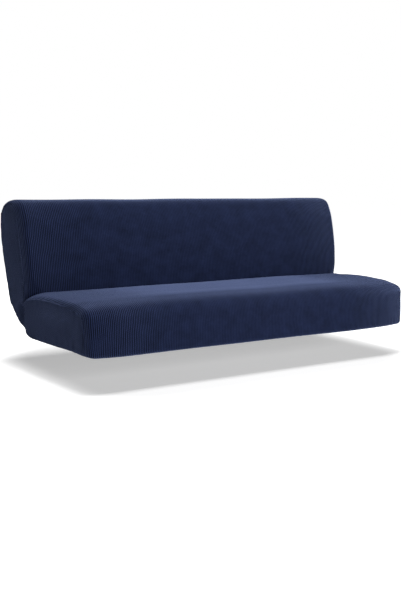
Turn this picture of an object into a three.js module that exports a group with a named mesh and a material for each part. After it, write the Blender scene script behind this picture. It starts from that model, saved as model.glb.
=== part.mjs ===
// Fitted stretch cover for an armless click-clack sofa bed, in millimetres, +Z up.
// The sofa is left out, so the cover is a hollow shell of sewn panels: a seat panel that runs
// from the crease over the front edge to the hem, a back panel that runs from the crease over
// the top to the rear hem, two seat sides and two back sides.
//
// The panels are drawn with x = 0 at the middle, y = 0 at the front face and z = 0 at the hem.
// The group then moves them so that the origin is the middle of the seat panel's underside,
// where the cover rests on the seat.

import * as THREE from 'three';

// Driving dimensions
const CLOTH = 1.6;               // thickness of the knit
const SEAM_GAP = 0.8;            // clearance between two panels along a seam
const CREASE_GAP = 1.4;          // the same at the crease ends, where four panels meet
const CREASE_GAP_ROWS = 3;       // rows over which the one eases into the other
const CREASE_TURN = 0.6;         // share of the side's direction in the cloth's at a crease end
const FRONT_HALF_WIDTH = 917;    // half the width of the cover at its front face
const REAR_HALF_WIDTH = 956;     // half the width at the crease and up the back
const FLARE_DEPTH = 650;         // depth over which the sides flare from one to the other
const SEAM_FRONT_Y = 56;         // side seam of the front face, behind the rounded corner
const CREASE_END = { y: 655, z: 145 };       // where the crease comes out at the side
const REAR_SEAM_Y = 806;         // side seam of the outside back, at its hem
const REAR_HEM_Z = 138;          // height of the rear hem above the front hem
const SIDE_HEM_Z = 6;            // height of the side hem, which the stretch draws up a little
const SIDE_HEM_LEVEL_Y = 200;    // depth at which it has reached that height
const SLANT_START_Y = 560;       // where the side hem leaves the level and starts to rise
const SLANT_EASE = 120;          // depth over which it turns into the slant
const HEM_RADIUS = 18;           // roll of the hem under the bottom edge
const HEM_LIP = 24;              // flat stretch of hem that turns under, past the roll
const SEAT_REST = { y: 380, z: 226.4 };       // middle of the seat panel's underside: the origin
const GROOVE = { y: 655, depth: 13, width: 30, topZ: 175 };   // valley between seat and back
// The side starts to turn to the front before it meets a front seam: depth and width are the two
// half axes of the rounded corner, and the seam lies part of the way round it.
const SEAT_TURN = { depth: 100, width: 50, fadeFromZ: 120, fadeToZ: 185 };
const BACK_TURN = { depth: 75, width: 36, pastSeam: 31, growRise: 50, growSlope: 1.2,
  fadeFromZ: 570, fadeToZ: 640 };
// The seat panel's rows start to fall towards the seam long before the corner: share is how much
// of the fall that takes, and reach how far from the end it starts. It fades out at the crease.
const SEAT_CROWN = { share: 0.4, reach: 180, fadeFromY: 500, fadeToY: 562 };
const HEM_SAG = 8;               // how far the front hem hangs lower in the middle
const BACK_SEAM = { y: 634, z: 222, lean: 0.00045 };       // line of the inside back's side seam
const SEAT_BULGE = { y: 340, z: 95, reachY: 230, reachZ: 85, out: 8 };
const BACK_BULGE = { y: 722, z: 450, lean: 0.18, reachY: 115, reachZ: 210, out: 13 };

// Grid counts
const FLAP_DROPS = [18, 9];      // rows of the short flap that turns down into the crease
const SIDE_ROWS = 4;             // rows up a seat side, above its rolled hem
const SEAT_TOP_ROWS = 13;        // rows from the crease to the front corner of the side seam
const BACK_FRONT_ROWS = 9;       // rows up the inside back
const BACK_TOP_ROWS = 8;         // rows over the top of the back
const HEM_ROWS = 5;
const MIDDLE_COLUMNS = 8;        // columns across the straight middle of a long panel
const CROWN_COLUMNS = 3;         // columns in the crowned stretch near each end
const CORNER_COLUMNS = 6;        // columns round each end of a long panel

// Each station is one place along a long panel: the profile point at the middle of the sofa
// (midY, midZ), the point where the same line meets the side seam (endY, endZ), and the length
// over which the panel rounds into the side (reach).
const SEAT_STATIONS = [
  { midY: 576, midZ: 204, endY: 650, endZ: 150, reach: 98 },                   // crease
  { midY: 562, midZ: 220, endY: 628, endZ: 170, reach: 96 },
  { midY: 500, midZ: 225, endY: 548, endZ: 195, reach: 72 },
  { midY: 380, midZ: 228, endY: 395, endZ: 206, reach: 44 },
  { midY: 240, midZ: 229, endY: 255, endZ: 201, reach: 38 },
  { midY: 112, midZ: 226, endY: 158, endZ: 188, reach: 38 },
  { midY: 22, midZ: 196, endY: SEAM_FRONT_Y, endZ: 167, reach: 42 },           // front corner
  { midY: 0, midZ: 110, endY: SEAM_FRONT_Y, endZ: 95, reach: 50 },
  { midY: 0, midZ: HEM_RADIUS - HEM_SAG, endY: SEAM_FRONT_Y, endZ: HEM_RADIUS, reach: 50 },
];
const SEAT_MARKS = { corner: 6, hem: 8 };

const BACK_STATIONS = [
  { midY: 577.4, midZ: 204, endY: 653, endZ: 152, reach: 136 },     // crease
  { midY: 580, midZ: 250, endY: 634, endZ: 222, reach: 56 },
  { midY: 592, midZ: 350, endY: 638, endZ: 335, reach: 36 },
  { midY: 615, midZ: 470, endY: 659, endZ: 455, reach: 34 },
  { midY: 645, midZ: 580, endY: 688, endZ: 560, reach: 34 },
  { midY: 682, midZ: 634, endY: 720, endZ: 612, reach: 34 },        // top front corner
  { midY: 745, midZ: 651, endY: 772, endZ: 637, reach: 36 },
  { midY: 830, midZ: 641, endY: 840, endZ: 622, reach: 36 },
  { midY: 912, midZ: 599, endY: 890, endZ: 583, reach: 38 },        // top rear corner
  { midY: 940, midZ: 518, endY: 902, endZ: 500, reach: 48 },
  { midY: 914, midZ: 380, endY: 874, endZ: 370, reach: 50 },
  { midY: 873, midZ: 240, endY: 834, endZ: 235, reach: 52 },
  { midY: 846, midZ: REAR_HEM_Z + HEM_RADIUS, endY: REAR_SEAM_Y, endZ: REAR_HEM_Z + HEM_RADIUS,
    reach: 54 },
];
const BACK_MARKS = { frontCorner: 5, rearCorner: 8, hem: 12 };

const smooth = (a, b, v) => THREE.MathUtils.smoothstep(v, a, b);
const mix = (a, b, t) => a + (b - a) * t;
const MIRROR = new THREE.Vector3(-1, 1, 1);
const bell = (v, middle, reach) => Math.exp(-(((v - middle) / reach) ** 2));

// The side hem is nearly level under the seat and then slants up to the rear hem.
function hemHeight(y) {
  const slope = (REAR_HEM_Z - SIDE_HEM_Z) / (REAR_SEAM_Y - SLANT_START_Y - SLANT_EASE / 2);
  const run = Math.max(0, y - SLANT_START_Y);
  const eased = run < SLANT_EASE ? (run * run) / (2 * SLANT_EASE) : run - SLANT_EASE / 2;
  return SIDE_HEM_Z * smooth(SEAM_FRONT_Y, SIDE_HEM_LEVEL_Y, y) + slope * eased;
}

// The turn of the side towards the front, as the cosine of the corner's angle at a place: 0 where
// the side is plain.
const TURN_LIMIT = 0.95;
const turnWithin = (run) => THREE.MathUtils.clamp(run, 0, TURN_LIMIT);

function seatTurn(y, z) {
  return turnWithin(1 - y / SEAT_TURN.depth)
    * (1 - smooth(SEAT_TURN.fadeFromZ, SEAT_TURN.fadeToZ, z));
}

function backTurn(y, z) {
  const seamY = BACK_SEAM.y + BACK_SEAM.lean * (z - BACK_SEAM.z) ** 2;
  return turnWithin((seamY + BACK_TURN.pastSeam - y) / BACK_TURN.depth)
    * smooth(0, BACK_TURN.growRise, z - CREASE_END.z - BACK_TURN.growSlope * (CREASE_END.y - y))
    * (1 - smooth(BACK_TURN.fadeFromZ, BACK_TURN.fadeToZ, z));
}

// How far the side surface stands out from the middle plane at a place on the side.
function sideOut(y, z) {
  const half = mix(FRONT_HALF_WIDTH, REAR_HALF_WIDTH, smooth(0, FLARE_DEPTH, y));
  const seatBulge = SEAT_BULGE.out * bell(y, SEAT_BULGE.y, SEAT_BULGE.reachY)
    * bell(z, SEAT_BULGE.z, SEAT_BULGE.reachZ);
  const backMiddle = BACK_BULGE.y + BACK_BULGE.lean * (z - CREASE_END.z);
  const backBulge = BACK_BULGE.out * bell(y, backMiddle, BACK_BULGE.reachY)
    * bell(z, BACK_BULGE.z, BACK_BULGE.reachZ);
  const groove = GROOVE.depth * bell(y, GROOVE.y, GROOVE.width)
    * (1 - smooth(CREASE_END.z, GROOVE.topZ, z));
  const drawnIn = (turn, width) => width * (1 - Math.sqrt(1 - turn * turn));
  return half + seatBulge + backBulge - groove
    - drawnIn(seatTurn(y, z), SEAT_TURN.width) - drawnIn(backTurn(y, z), BACK_TURN.width);
}

// A rolled hem: run is the length of cloth past the start of the roll. It gives how far the
// cloth has dropped below that start, and how far it has turned in under the bottom edge.
function hemRoll(run) {
  const angle = Math.min(run / HEM_RADIUS, Math.PI / 2);
  const lip = Math.max(0, run - HEM_RADIUS * Math.PI / 2);
  return { drop: HEM_RADIUS * Math.sin(angle), turn: HEM_RADIUS * (1 - Math.cos(angle)) + lip };
}

const hemLength = HEM_RADIUS * Math.PI / 2 + HEM_LIP;
const rollLength = HEM_RADIUS * Math.PI / 2;
const hemRuns = Array.from({ length: HEM_ROWS }, (_, i) =>
  (i < HEM_ROWS - 1 ? rollLength * (i + 1) / (HEM_ROWS - 1) : hemLength));

// A point on the right-hand side, from its depth y and its height above the side hem. Heights
// under the start of the roll follow the roll.
function sidePoint(y, height) {
  if (height >= HEM_RADIUS) {
    const z = hemHeight(y) + height;
    return new THREE.Vector3(sideOut(y, z), y, z);
  }
  const { drop, turn } = hemRoll(HEM_RADIUS - height);
  const top = hemHeight(y) + HEM_RADIUS;
  return new THREE.Vector3(sideOut(y, top) - turn, y, top - drop);
}

// The outward direction of the right-hand side surface at such a place.
function sideNormal(y, height) {
  const reach = 0.5;
  const alongDepth = sidePoint(y + reach, height).sub(sidePoint(y - reach, height));
  const alongHeight = sidePoint(y, height + reach).sub(sidePoint(y, height - reach));
  return alongDepth.cross(alongHeight).normalize();
}

// Samples the stations between two marks, as rows of a long panel.
function rowsBetween(stations, from, to, count) {
  const curve = (pick) => new THREE.CatmullRomCurve3(
    stations.map((s) => new THREE.Vector3(...pick(s))), false, 'centripetal');
  const middle = curve((s) => [s.midY, s.midZ, s.reach]);
  const end = curve((s) => [s.endY, s.endZ, 0]);
  const last = stations.length - 1;
  return Array.from({ length: count + 1 }, (_, i) => {
    const t = mix(from, to, i / count) / last;
    const m = middle.getPoint(t);
    const e = end.getPoint(t);
    return {
      mid: { y: m.x, z: m.y },
      seam: { y: e.x, height: e.y - hemHeight(e.x) },
      reach: m.z,
    };
  });
}

// The rolled hem of a long panel continues its last row; inward is +1 for a hem that turns
// towards the rear and -1 for one that turns towards the front.
function hemRowsAfter(row, inward) {
  return hemRuns.map((run) => {
    const { drop, turn } = hemRoll(run);
    return {
      mid: { y: row.mid.y + inward * turn, z: row.mid.z - drop },
      seam: { y: row.seam.y, height: row.seam.height - run },
      reach: row.reach,
    };
  });
}

// 0 at the row in the crease, 1 from the row where the seam runs at its ordinary gap.
const creaseEase = (row) => THREE.MathUtils.clamp(row / CREASE_GAP_ROWS, 0, 1);

// The rows of a whole long panel: each span runs from one mark to the next, and the hem follows.
// The panel's own edge stays half a seam gap clear of the seam. inward is +1 for the seat panel,
// which lies on one side of its seam, and -1 for the back panel, which lies on the other.
function longPanelRows(stations, spans, inward) {
  const rows = spans.flatMap(([from, to, count], k) => {
    const span = rowsBetween(stations, from, to, count);
    return k === 0 ? span : span.slice(1);
  });
  rows.push(...hemRowsAfter(rows[rows.length - 1], inward));
  rows.forEach((row, i) => {
    const before = rows[Math.max(0, i - 1)].seam;
    const after = rows[Math.min(rows.length - 1, i + 1)].seam;
    const along = new THREE.Vector2(after.y - before.y, after.height - before.height);
    along.setLength(inward * mix(CREASE_GAP, SEAM_GAP, creaseEase(i)) / 2);
    row.edge = { y: row.seam.y + along.y, height: row.seam.height - along.x };
  });
  return rows;
}

const seatRows = longPanelRows(SEAT_STATIONS, [
  [0, SEAT_MARKS.corner, SEAT_TOP_ROWS],
  [SEAT_MARKS.corner, SEAT_MARKS.hem, SIDE_ROWS],
], 1);
const backRows = longPanelRows(BACK_STATIONS, [
  [0, BACK_MARKS.frontCorner, BACK_FRONT_ROWS],
  [BACK_MARKS.frontCorner, BACK_MARKS.rearCorner, BACK_TOP_ROWS],
  [BACK_MARKS.rearCorner, BACK_MARKS.hem, BACK_FRONT_ROWS + SIDE_ROWS],
], -1);
seatRows.forEach((row) => {
  row.crown = SEAT_CROWN.share * (1 - smooth(SEAT_CROWN.fadeFromY, SEAT_CROWN.fadeToY, row.mid.y));
});
backRows.forEach((row) => { row.crown = 0; });

// One row of a long panel, from its left end to its right end. Each end is part of an ellipse
// that leaves the middle and arrives in the side surface at the angle it has there.
function panelRow(row) {
  const end = sidePoint(row.edge.y, row.edge.height);
  const sideZ = hemHeight(row.edge.y) + Math.max(row.edge.height, HEM_RADIUS);
  const turn = Math.max(seatTurn(row.edge.y, sideZ), backTurn(row.edge.y, sideZ));
  const endAngle = Math.acos(turn);
  const reach = row.reach * (1 - row.crown);
  const startX = end.x - reach * Math.sin(endAngle);
  const crownX = end.x - SEAT_CROWN.reach;
  const right = [];
  const place = (x, pull) => {
    const crowned = THREE.MathUtils.clamp((x - crownX) / SEAT_CROWN.reach, 0, 1) ** 2;
    const fall = row.crown * crowned + (1 - row.crown) * pull;
    right.push(new THREE.Vector3(x, mix(row.mid.y, end.y, fall), mix(row.mid.z, end.z, fall)));
  };
  for (let i = 1; i <= MIDDLE_COLUMNS / 2; i++) {
    place(crownX * i / (MIDDLE_COLUMNS / 2), 0);
  }
  for (let i = 1; i <= CROWN_COLUMNS; i++) {
    place(mix(crownX, startX, i / CROWN_COLUMNS), 0);
  }
  for (let i = 1; i <= CORNER_COLUMNS; i++) {
    const angle = endAngle * (i / CORNER_COLUMNS);
    place(startX + reach * Math.sin(angle), (1 - Math.cos(angle)) / (1 - turn));
  }
  const left = right.map((p) => new THREE.Vector3(-p.x, p.y, p.z)).reverse();
  return [...left, new THREE.Vector3(0, row.mid.y, row.mid.z), ...right];
}

// The flap that a long panel turns down into the crease hangs from its first row and runs out
// to nothing at the two ends.
function flapRows(firstRow) {
  const lastColumn = firstRow.length - 1;
  return FLAP_DROPS.map((drop) => firstRow.map((p, j) => {
    const fromEnd = Math.min(j, lastColumn - j) / CORNER_COLUMNS;
    const taper = Math.sin((Math.PI / 2) * Math.min(1, fromEnd));
    return new THREE.Vector3(p.x, p.y, p.z - drop * taper);
  }));
}

// Closes a grid of points into a sheet: the grid is its outer face, the inner face lies one
// cloth thickness behind it, and strips close the four edges. outwardAt(i, j, gridNormal) gives
// the outward direction, because two edges on a seam have to stay parallel.
function sheet(grid, outwards, outwardAt) {
  const rows = grid.length;
  const columns = grid[0].length;
  const gridNormal = (i, j) => {
    const along = grid[Math.min(i + 1, rows - 1)][j].clone().sub(grid[Math.max(i - 1, 0)][j]);
    const across = grid[i][Math.min(j + 1, columns - 1)].clone().sub(grid[i][Math.max(j - 1, 0)]);
    return across.cross(along).normalize().multiplyScalar(outwards);
  };
  const positions = [];
  for (let layer = 0; layer < 2; layer++) {
    for (let i = 0; i < rows; i++) {
      for (let j = 0; j < columns; j++) {
        const outward = outwardAt(i, j, gridNormal);
        const point = grid[i][j].clone().addScaledVector(outward, -CLOTH * layer);
        positions.push(point.x, point.y, point.z);
      }
    }
  }
  const at = (layer, i, j) => layer * rows * columns + i * columns + j;
  const triangles = [];
  const same = (a, b) => [0, 1, 2].every((k) => positions[3 * a + k] === positions[3 * b + k]);
  const triangle = (a, b, c) => {
    if (same(a, b) || same(b, c) || same(c, a)) return;
    triangles.push(a, ...(outwards > 0 ? [b, c] : [c, b]));
  };
  const quad = (a, b, c, d) => {
    triangle(a, b, c);
    triangle(a, c, d);
  };
  for (let i = 0; i < rows - 1; i++) {
    for (let j = 0; j < columns - 1; j++) {
      quad(at(0, i, j), at(0, i, j + 1), at(0, i + 1, j + 1), at(0, i + 1, j));
      quad(at(1, i, j), at(1, i + 1, j), at(1, i + 1, j + 1), at(1, i, j + 1));
    }
  }
  for (let i = 0; i < rows - 1; i++) {
    const last = columns - 1;
    quad(at(0, i, 0), at(0, i + 1, 0), at(1, i + 1, 0), at(1, i, 0));
    quad(at(0, i, last), at(1, i, last), at(1, i + 1, last), at(0, i + 1, last));
  }
  for (let j = 0; j < columns - 1; j++) {
    const last = rows - 1;
    quad(at(0, 0, j), at(1, 0, j), at(1, 0, j + 1), at(0, 0, j + 1));
    quad(at(0, last, j), at(0, last, j + 1), at(1, last, j + 1), at(1, last, j));
  }
  const geometry = new THREE.BufferGeometry();
  geometry.setAttribute('position', new THREE.Float32BufferAttribute(positions, 3));
  geometry.setIndex(triangles);
  geometry.computeVertexNormals();
  return geometry;
}

// The edge of a side panel is drawn flat, as depth and height above the side hem, in four runs:
// bottom and top go rearwards, front and rear go up. The whole edge is moved in by half a seam
// gap, with mitred corners.
function clearOfSeams({ bottom, rear, top, front }) {
  const loop = [...bottom, ...rear.slice(1), ...[...top].reverse().slice(1),
    ...[...front].reverse().slice(1, -1)];
  const inward = (a, b) => new THREE.Vector2(-(b.height - a.height), b.y - a.y).normalize();
  const moved = loop.map((p, i) => {
    const before = inward(loop.at(i - 1), p);
    const after = inward(p, loop[(i + 1) % loop.length]);
    const shift = SEAM_GAP / 2 / (1 + before.dot(after));
    return {
      y: p.y + (before.x + after.x) * shift,
      height: p.height + (before.y + after.y) * shift,
    };
  });
  const rearStart = bottom.length - 1;
  const topStart = rearStart + rear.length - 1;
  const frontStart = topStart + top.length - 1;
  return {
    bottom: moved.slice(0, rearStart + 1),
    rear: moved.slice(rearStart, topStart + 1),
    top: moved.slice(topStart, frontStart + 1).reverse(),
    front: [...moved.slice(frontStart), moved[0]].reverse(),
  };
}

// Fills the four runs with a grid of places on the side. Every row of the rolled hem stays
// level with the hem, and every edge point stays on its seam.
function fillSide(edges) {
  const { bottom, rear, top, front } = clearOfSeams(edges);
  const depth = top[top.length - 1].y - top[0].y;
  const rise = front.map((p) => Math.max(0, p.height - HEM_RADIUS));
  const topRise = rise[rise.length - 1];
  return front.map((frontPoint, k) => {
    const up = rise[k] / topRise;
    return top.map((topPoint, j) => {
      const back = (topPoint.y - top[0].y) / depth;
      const fill = (key) => {
        const frontLine = mix(front[0][key], front[front.length - 1][key], up);
        const rearLine = mix(rear[0][key], rear[rear.length - 1][key], up);
        return mix(bottom[j][key], topPoint[key], up)
          + mix(frontPoint[key], rear[k][key], back)
          - mix(frontLine, rearLine, back);
      };
      return { y: fill('y'), height: fill('height') };
    });
  });
}

// The bottom edge of a side panel: the edge of the hem's lip, under the points of its top run.
function lipEdge(top, frontY, rearY) {
  const depth = top[top.length - 1].y - top[0].y;
  return top.map((p) => ({
    y: mix(frontY, rearY, (p.y - top[0].y) / depth),
    height: HEM_RADIUS - hemLength,
  }));
}

const seamsOf = (rows) => rows.map((row) => row.seam);
const BACK_REAR_CORNER_ROW = BACK_FRONT_ROWS + BACK_TOP_ROWS;

// Where the seat side meets the back side below the crease, from the lip of the hem up.
const crease = { y: CREASE_END.y, height: CREASE_END.z - hemHeight(CREASE_END.y) };
const border = [
  ...[...hemRuns].reverse().map((run) => ({ y: crease.y, height: HEM_RADIUS - run })),
  ...Array.from({ length: SIDE_ROWS + 1 }, (_, i) => (
    { y: crease.y, height: mix(HEM_RADIUS, crease.height, i / SIDE_ROWS) })),
];

function seatSidePlaces() {
  const top = [crease, ...seamsOf(seatRows.slice(1, SEAT_TOP_ROWS + 1))].reverse();
  return fillSide({
    bottom: lipEdge(top, SEAM_FRONT_Y, crease.y),
    rear: border,
    top,
    front: seamsOf(seatRows.slice(SEAT_TOP_ROWS)).reverse(),
  });
}

function backSidePlaces() {
  const top = seamsOf(backRows.slice(BACK_FRONT_ROWS, BACK_REAR_CORNER_ROW + 1));
  return fillSide({
    bottom: lipEdge(top, crease.y, REAR_SEAM_Y),
    rear: seamsOf(backRows.slice(BACK_REAR_CORNER_ROW)).reverse(),
    top,
    front: [...border, ...seamsOf(backRows.slice(1, BACK_FRONT_ROWS + 1))],
  });
}

const knit = () => new THREE.MeshStandardMaterial({ color: 0x2a3250, roughness: 0.85, metalness: 0 });

function panel(name, geometry) {
  const mesh = new THREE.Mesh(geometry, knit());
  mesh.name = name;
  return mesh;
}

// A long panel lies in the side surface at both ends.
function longPanel(name, rows, outwards) {
  const grid = rows.map(panelRow);
  const flap = flapRows(grid[0]);
  const outwardAt = (i, j, gridNormal) => {
    if (j > 0 && j < grid[0].length - 1) return gridNormal(i, j);
    const row = Math.max(0, i - flap.length);
    const atSeam = sideNormal(rows[row].seam.y, rows[row].seam.height);
    if (j === 0) atSeam.multiply(MIRROR);
    const turned = mix(CREASE_TURN, 1, creaseEase(row));
    return gridNormal(row + flap.length, j).lerp(atSeam, turned).normalize();
  };
  return panel(name, sheet([...flap, ...grid], outwards, outwardAt));
}

function sidePanel(name, places, side) {
  const flip = side < 0 ? MIRROR : new THREE.Vector3(1, 1, 1);
  const grid = places.map((row) => row.map((p) => sidePoint(p.y, p.height).multiply(flip)));
  const outwardAt = (i, j) => sideNormal(places[i][j].y, places[i][j].height).multiply(flip);
  return panel(name, sheet(grid, side, outwardAt));
}

const cover = new THREE.Group();
cover.add(longPanel('seat_panel', seatRows, -1));
cover.add(longPanel('back_panel', backRows, 1));
cover.add(sidePanel('seat_side_left', seatSidePlaces(), -1));
cover.add(sidePanel('seat_side_right', seatSidePlaces(), 1));
cover.add(sidePanel('back_side_left', backSidePlaces(), -1));
cover.add(sidePanel('back_side_right', backSidePlaces(), 1));
cover.position.set(0, -SEAT_REST.y, -SEAT_REST.z);

export default cover;
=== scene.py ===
# %% [markdown]
# # A fitted stretch cover for an armless sofa bed
# The real cover is a bag of six knitted panels, sewn along the ends of the seat and of the back
# and drawn taut over the sofa bed, which is left out. Cloth could be simulated over a hidden
# body, but taut knit only takes that body's form, so this lesson models the form itself: one
# fine sheet for each panel, on the packed part, which is loaded first. Everything is in metres.

# %% Load the packed part
import math

import bmesh
import bpy
import numpy as np
from mathutils import Matrix, Vector


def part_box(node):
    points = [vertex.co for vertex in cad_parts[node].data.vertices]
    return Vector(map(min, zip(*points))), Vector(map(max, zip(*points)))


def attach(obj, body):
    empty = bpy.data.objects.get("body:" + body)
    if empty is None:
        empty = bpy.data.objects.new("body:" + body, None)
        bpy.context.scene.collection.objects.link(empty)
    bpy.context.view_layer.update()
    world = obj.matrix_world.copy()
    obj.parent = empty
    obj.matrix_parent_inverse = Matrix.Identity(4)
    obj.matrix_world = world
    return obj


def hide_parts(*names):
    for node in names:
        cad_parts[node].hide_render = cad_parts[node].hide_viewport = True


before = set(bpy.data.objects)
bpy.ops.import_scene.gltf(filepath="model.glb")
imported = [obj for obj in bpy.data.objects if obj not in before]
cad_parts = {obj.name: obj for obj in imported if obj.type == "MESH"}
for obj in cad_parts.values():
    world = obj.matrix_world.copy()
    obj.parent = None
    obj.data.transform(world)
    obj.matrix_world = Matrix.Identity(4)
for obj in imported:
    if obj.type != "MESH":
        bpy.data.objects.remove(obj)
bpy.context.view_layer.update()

# %% [markdown]
# ## The measures of the cover
# The cover is measured as a maker would: depth from the front face backwards, height from the
# front hem upwards, and width from the middle plane. The part's origin is the middle of the
# underside of the seat, so one shift takes those measures into the frame. All round the bottom
# elastic rolls the cloth under, and it ends in a flat lip.

# %% Driving sizes
ORIGIN_DEPTH = 0.380      # depth of the part's origin behind the front face
HEM_SAG = 0.008           # how far the front hem hangs lower in the middle
HEM_RADIUS = 0.018        # roll of the hem under the bottom edge
HEM_LIP = 0.024           # flat stretch of hem that turns under, past the roll

hem_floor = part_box("seat_panel")[0].z
SHIFT = np.array([0.0, -ORIGIN_DEPTH, hem_floor + HEM_SAG])
ROLL = HEM_RADIUS * math.pi / 2
print("front face at y", -ORIGIN_DEPTH, "hem at z", round(hem_floor, 4))
print("cloth in the hem", round(ROLL + HEM_LIP, 4))

# %% [markdown]
# ## A little maths for cloth
# `bell` is a soft bump, `ease` a soft step, and `ripples` a smooth random field. Taut knit is
# never quite even, and small ripples are what the eye reads as cloth. Blender has noise of its
# own, but it takes one point at a time. These functions take a whole grid at once, and every
# field has a fixed seed, so the cloth is the same on every run.

# %% Soft steps, bumps and ripples
WAVES = 9                 # waves that are added up in a field of ripples
WAVE_SPREAD = (0.7, 1.4)  # the shortest and the longest of them, as shares of the wavelength


def bell(value, middle, reach):
    return np.exp(-(((value - middle) / reach) ** 2))


def ease(start, end, value):
    t = np.clip((value - start) / (end - start), 0, 1)
    return t * t * (3 - 2 * t)


def mix(a, b, t):
    return a + (b - a) * t


def ripples(points, wavelength, seed):
    """Waves of about one length in random directions, added up to about -1 to 1."""
    draw = np.random.default_rng(seed)
    total = np.zeros(points.shape[:-1])
    for _ in range(WAVES):
        direction = draw.normal(size=3)
        direction /= np.linalg.norm(direction)
        length = wavelength * draw.uniform(*WAVE_SPREAD)
        phase = draw.uniform(0, 2 * math.pi)
        total += np.sin(2 * math.pi * (points @ direction) / length + phase)
    return total / math.sqrt(WAVES)


def run_along(points, axis):
    """Length of cloth from the first point on, along one direction of a grid."""
    steps = np.linalg.norm(np.diff(points, axis=axis), axis=-1)
    start = np.zeros_like(np.take(steps, [0], axis=axis))
    return np.cumsum(np.concatenate([start, steps], axis=axis), axis=axis)


print("a soft step, a quarter of the way along:", round(float(ease(0, 1, 0.25)), 3))

# %% [markdown]
# ## The line of the hem
# At the sides the hem is level under the seat, a little drawn up by the stretch, and behind it
# slants up to the rear. A bend made of two straight lines would show as a kink, so the height
# starts to rise as a parabola and goes on as a line. `hem_roll` says where cloth goes past that
# line: down and under round the roll, then flat in the lip.

# %% The line of the hem
SEAM_FRONT = 0.056        # depth of the side seam of the front face
SEAM_REAR = 0.806         # depth of the side seam of the outside back, at its hem
REAR_HEM = 0.138          # height of the rear hem above the front hem
SIDE_HEM = 0.006          # height of the side hem, where the stretch has drawn it up
SIDE_HEM_DEPTH = 0.200    # depth at which it has reached that height
SLANT_START = 0.560       # where the side hem starts to slant
SLANT_EASE = 0.120        # depth over which it turns into the slant
SLANT = (REAR_HEM - SIDE_HEM) / (SEAM_REAR - SLANT_START - SLANT_EASE / 2)


def hem_height(depth):
    run = np.maximum(0, depth - SLANT_START)
    eased = np.where(run < SLANT_EASE, run * run / (2 * SLANT_EASE), run - SLANT_EASE / 2)
    return SIDE_HEM * ease(SEAM_FRONT, SIDE_HEM_DEPTH, depth) + SLANT * eased


def hem_roll(run):
    """How far the cloth has dropped, and tucked in, after that run past the start of the roll."""
    angle = np.minimum(run / HEM_RADIUS, math.pi / 2)
    lip = np.maximum(0, run - ROLL)
    return HEM_RADIUS * np.sin(angle), HEM_RADIUS * (1 - np.cos(angle)) + lip


print("slope of the side hem", round(SLANT, 3), "up to", round(float(hem_height(SEAM_REAR)), 3))

# %% [markdown]
# ## The two rounded corners
# Padding has no sharp edges, so the front of the seat and the inside of the back round into the
# sides. The seam lies part of the way round: the long panel comes round the corner, and the side
# panel takes it on from there. Two surfaces made apart would meet in a fold. So both follow one
# ellipse, and one number says how far round it the seam lies: `turn`, the cosine of the angle
# that the long panel has turned through. It is 0 where the side is plain.

# %% The two rounded corners
CREASE_END = (0.655, 0.145)    # depth and height where the crease comes out at the side
CREASE_SLOPE = 1.2        # how steeply the line of the crease climbs forwards from there
CREASE_FADE = 0.050       # height above that line over which the back's corner grows
SEAT_TURN_DEPTH = 0.100   # the corner at the front of the seat: its depth and its width
SEAT_TURN_WIDTH = 0.050
SEAT_TURN_FADE = (0.120, 0.185)    # heights over which it runs out, below the top of the seat
BACK_TURN_DEPTH = 0.075   # the same for the inside back
BACK_TURN_WIDTH = 0.036
BACK_TURN_FADE = (0.570, 0.640)
BACK_SEAM_FRONT = (0.634, 0.222)    # depth and height where the back's seam is furthest forward
BACK_SEAM_BOW = 0.45      # how strongly the seam bows to the rear from there
TURN_PAST_SEAM = 0.031    # how far past its seam the inside back's corner reaches
FULLEST_TURN = 0.95       # the cloth never lies flat across the end


def seat_turn(depth, height):
    run = np.clip(1 - depth / SEAT_TURN_DEPTH, 0, FULLEST_TURN)
    return run * (1 - ease(*SEAT_TURN_FADE, height))


def back_turn(depth, height):
    seam = BACK_SEAM_FRONT[0] + BACK_SEAM_BOW * (height - BACK_SEAM_FRONT[1]) ** 2
    run = np.clip((seam + TURN_PAST_SEAM - depth) / BACK_TURN_DEPTH, 0, FULLEST_TURN)
    above_crease = height - CREASE_END[1] - CREASE_SLOPE * (CREASE_END[0] - depth)
    return run * ease(0, CREASE_FADE, above_crease) * (1 - ease(*BACK_TURN_FADE, height))


def drawn_in(turn, width):
    """How far the side surface gives way to the corner."""
    return width * (1 - np.sqrt(1 - turn * turn))


FRONT_MIDDLE = 0.118      # half way up the front face
print("turn at the front seam", round(float(seat_turn(SEAM_FRONT, FRONT_MIDDLE)), 3))

# %% [markdown]
# ## The side surface
# Both side panels of an end lie in one gently bulging surface. It flares from the front face to
# the back, swells over the padding, and dips in a groove where the seat meets the back. It could
# be sculpted by hand, but a formula gives one surface to the side panels, to the ends of the
# long panels and to the thread, so that all of them meet.

# %% The side surface
SIDE_FLARE = (0.917, 0.956)    # half the width at the front face, and where the flare ends
FLARE_DEPTH = 0.650
SEAT_SWELL = 0.008        # how far the padding of the seat pushes the side out
SEAT_SWELL_MIDDLE = (0.340, 0.095)    # depth and height
SEAT_SWELL_REACH = (0.230, 0.085)
BACK_SWELL = 0.013        # the same for the back
BACK_SWELL_MIDDLE = (0.722, 0.450)    # its depth is that at the height of the crease
BACK_SWELL_LEAN = 0.18    # how much deeper it is for each metre above that
BACK_SWELL_REACH = (0.115, 0.210)
GROOVE = 0.013            # the groove between the seat and the back: how deep, how wide, how high
GROOVE_REACH = 0.030
GROOVE_TOP = 0.175


def swell(depth, height, middle, reach):
    return bell(depth, middle[0], reach[0]) * bell(height, middle[1], reach[1])


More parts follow.
